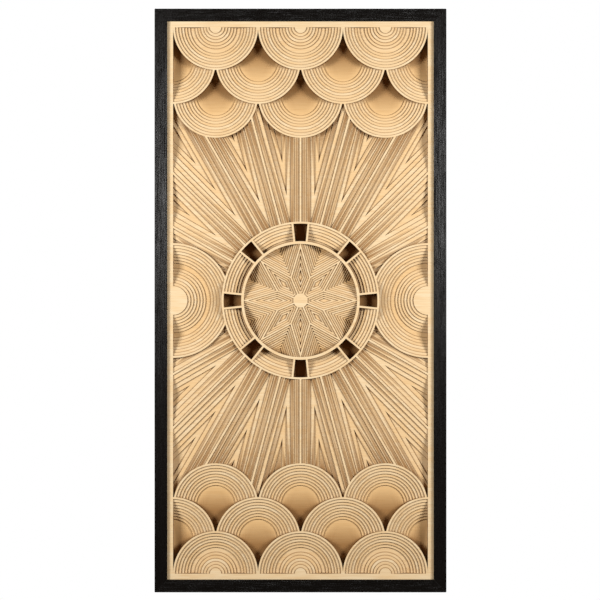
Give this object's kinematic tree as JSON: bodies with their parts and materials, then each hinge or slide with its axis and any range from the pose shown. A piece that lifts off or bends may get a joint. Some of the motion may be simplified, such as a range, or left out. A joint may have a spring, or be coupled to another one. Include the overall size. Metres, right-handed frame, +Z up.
{
  "type": "relief wall panel",
  "caption": "Tall framed wall panel: fretted wooden boards stacked in steps make a relief of scallops, rays and a star medallion inside a black mitred frame; hangs flat on a wall.",
  "frame": {"origin": "middle of the flat back face, where it lies against the wall", "axes": "+Z up along the panel's height, +Y out of the back towards the wall, +X across the width to the viewer's right"},
  "size_m": [0.61, 0.043, 1.22],
  "materials": {
    "birch_ply": "pale birch plywood, cut edges browned, matt clear oil",
    "black_stained_wood": "open-grained wood stained black, satin"
  },
  "bodies": {
    "root": {"backing_board": "birch_ply", "relief_board_1": "birch_ply", "relief_board_2": "birch_ply", "relief_board_3": "birch_ply", "relief_board_4": "birch_ply", "relief_board_5": "birch_ply", "frame_rail_top": "black_stained_wood", "frame_rail_bottom": "black_stained_wood", "frame_rail_left": "black_stained_wood", "frame_rail_right": "black_stained_wood"}
  },
  "joints": []
}
